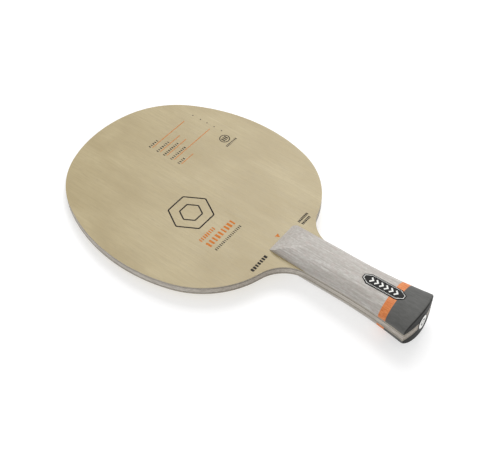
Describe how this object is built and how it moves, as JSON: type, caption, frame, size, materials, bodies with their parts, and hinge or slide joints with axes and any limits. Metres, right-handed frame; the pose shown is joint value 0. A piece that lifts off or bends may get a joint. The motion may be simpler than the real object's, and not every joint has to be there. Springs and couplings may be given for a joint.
{
  "type": "table tennis blade",
  "caption": "Bare table tennis bat of laminated wood and carbon: an oval head with no rubber sheets and a flared two-sided handle with an inlaid badge.",
  "frame": {"origin": "middle of the whole blade: half way from butt to tip, on the centre line, at mid thickness", "axes": "+Y from the butt to the tip, +Z normal to the front face that carries the prints and the badge, +X to the right"},
  "size_m": [0.15, 0.2587, 0.0248],
  "materials": {
    "face_veneer": "pale sanded hardwood veneer, thin clear seal",
    "inner_veneer": "pale veneer, seen only at the edge",
    "carbon_weave": "thin resin-bonded carbon weave, seen only at the edge",
    "core_wood": "light open-grained core wood, sanded edge",
    "scale_wood": "pale grey dyed wood, satin sanded",
    "band_wood": "orange dyed wood, satin sanded",
    "block_wood": "dark grey dyed wood, satin sanded",
    "badge_plastic": "black printed plastic plate, smooth",
    "adhesive_film": "double-sided adhesive pad",
    "label_film": "white printed film label"
  },
  "bodies": {
    "root": {"front_outer_ply": "face_veneer", "back_outer_ply": "face_veneer", "front_inner_ply": "inner_veneer", "back_inner_ply": "inner_veneer", "front_carbon_ply": "carbon_weave", "back_carbon_ply": "carbon_weave", "core_ply": "core_wood", "front_grip_scale": "scale_wood", "back_grip_scale": "scale_wood", "front_accent_band": "band_wood", "back_accent_band": "band_wood", "front_butt_block": "block_wood", "back_butt_block": "block_wood", "badge_plate": "badge_plastic", "badge_adhesive": "adhesive_film", "butt_label": "label_film"}
  },
  "joints": []
}
